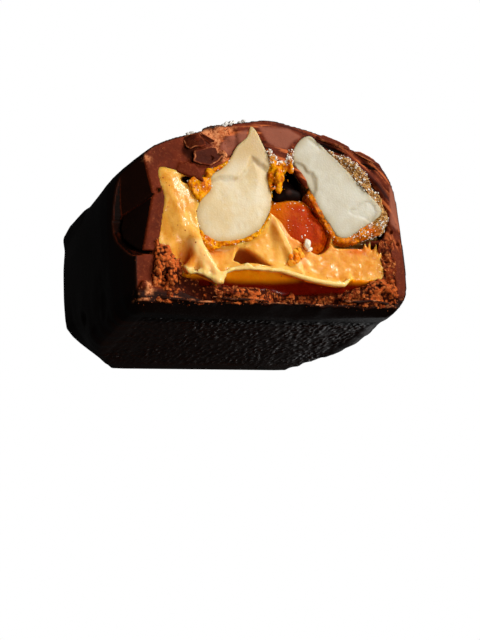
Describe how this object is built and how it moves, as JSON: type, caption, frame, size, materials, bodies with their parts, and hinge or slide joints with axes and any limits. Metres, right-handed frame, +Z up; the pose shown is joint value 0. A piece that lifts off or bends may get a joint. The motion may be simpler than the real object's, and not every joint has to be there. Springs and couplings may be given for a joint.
{
  "type": "filled chocolate",
  "caption": "Cut half of a dark chocolate bar filled with soft caramel, nuts in a sugar crust and a thin crumb bed, with salt crystals on top.",
  "frame": {"origin": "on the flat base, under the middle of the bounding box", "axes": "+X to the right along the cut face, +Y from the cut face into the bar, +Z up"},
  "size_m": [0.044, 0.0358, 0.0298],
  "materials": {
    "dark_chocolate": "satin dark chocolate, smooth outside and finely scraped at the cut",
    "caramel": "soft glossy caramel, slightly translucent",
    "nut_cream": "cut nut, cream, smooth and dull",
    "nut_white": "cut nut, nearly white, smooth and dull",
    "sugar_crust_amber": "granular amber sugar crust, glossy",
    "sugar_crust_pale": "granular pale brown sugar crust with white crystals",
    "candied_skin": "clear red amber candy skin, wet looking",
    "cocoa_crumb": "coarse cocoa wafer crumb, dull"
  },
  "bodies": {
    "root": {"chocolate_shell": "dark_chocolate", "caramel_filling": "caramel", "nut_left": "nut_cream", "nut_right": "nut_white", "nut_glaze_left": "sugar_crust_amber", "nut_glaze_right": "sugar_crust_pale", "candied_nut_middle": "candied_skin", "crumb_layer": "cocoa_crumb"}
  },
  "joints": []
}
